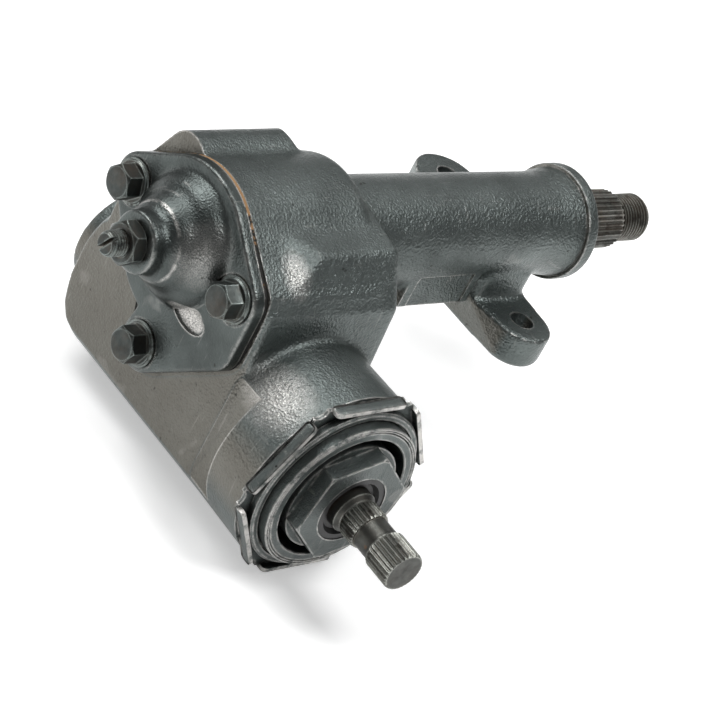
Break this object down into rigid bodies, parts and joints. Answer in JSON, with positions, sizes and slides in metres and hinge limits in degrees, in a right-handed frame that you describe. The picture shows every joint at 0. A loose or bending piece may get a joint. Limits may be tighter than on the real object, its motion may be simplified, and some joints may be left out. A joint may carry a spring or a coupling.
{
  "type": "steering gearbox",
  "caption": "Manual recirculating-ball steering gearbox with a worm input, a long splined output shaft in a cast housing tube, frame ears and a bolted side cover with lash adjuster.",
  "frame": {"origin": "on the frame mounting face, the underside of the saddle and ears, straight under the output shaft's axis", "axes": "+X along the output shaft towards its splined end, -Y towards the input end of the worm shaft, +Z away from the mounting face"},
  "size_m": [0.3221, 0.233, 0.1358],
  "materials": {
    "cast_housing": "silver-grey paint over rough casting",
    "cast_cover": "silver-grey paint",
    "gasket": "orange-tan gasket paper",
    "fasteners": "dark steel",
    "output_shaft": "dark machined steel, browned at the thread",
    "input_shaft": "machined steel",
    "plug_casting": "silver-grey paint",
    "sheet_steel": "silver-grey paint",
    "bush": "bearing bronze",
    "seal": "black rubber",
    "inner_steel": "ground steel"
  },
  "bodies": {
    "gear_housing": {"housing": "cast_housing", "side_cover": "cast_cover", "cover_gasket": "gasket", "cover_bolts": "fasteners", "lash_adjuster_screw": "fasteners", "adjuster_jam_nut": "fasteners", "adjuster_shim": "inner_steel", "cover_bush": "bush", "inner_tube_bush": "bush", "outer_tube_bush": "bush", "pitman_seal": "seal", "upper_bearing_cup": "inner_steel", "lower_bearing_cup": "inner_steel", "adjuster_plug": "plug_casting", "plug_lock_ring": "plug_casting", "tab_plate": "sheet_steel", "worm_seal": "seal"},
    "output_shaft": {"pitman_shaft": "output_shaft"},
    "nut_assembly": {"ball_nut": "inner_steel", "nut_balls": "inner_steel", "ball_guides": "inner_steel", "guide_clamp": "inner_steel", "clamp_screw": "inner_steel"},
    "worm": {"worm_shaft": "input_shaft", "upper_bearing_cone": "inner_steel", "lower_bearing_cone": "inner_steel"},
    "upper_rollers": {"upper_bearing_rollers": "inner_steel", "upper_bearing_cage": "inner_steel"},
    "lower_rollers": {"lower_bearing_rollers": "inner_steel", "lower_bearing_cage": "inner_steel"}
  },
  "joints": [
    {"name": "pitman_swing", "type": "hinge", "parent": "gear_housing", "child": "output_shaft", "pos_m": [0, 0, 0.042], "axis": [1, 0, 0], "range_deg": [-38, 38]},
    {"name": "nut_slide", "type": "slide", "parent": "gear_housing", "child": "nut_assembly", "axis": [0, 1, 0], "range_m": [-0.0213, 0.0213]},
    {"name": "worm_spin", "type": "hinge", "parent": "gear_housing", "child": "worm", "pos_m": [-0.164, 0, -0.013], "axis": [0, -1, 0], "range_deg": [-760.5, 760.5]},
    {"name": "upper_roller_spin", "type": "hinge", "parent": "gear_housing", "child": "upper_rollers", "pos_m": [-0.164, 0, -0.013], "axis": [0, -1, 0], "range_deg": [-325.5, 325.5]},
    {"name": "lower_roller_spin", "type": "hinge", "parent": "gear_housing", "child": "lower_rollers", "pos_m": [-0.164, 0, -0.013], "axis": [0, -1, 0], "range_deg": [-325.5, 325.5]}
  ],
  "couplings": [
    {"joint": "nut_slide", "follows": "pitman_swing", "m_per_rad": 0.032},
    {"joint": "worm_spin", "follows": "pitman_swing", "ratio": 20},
    {"joint": "upper_roller_spin", "follows": "pitman_swing", "ratio": 8.551},
    {"joint": "lower_roller_spin", "follows": "pitman_swing", "ratio": 8.551}
  ]
}
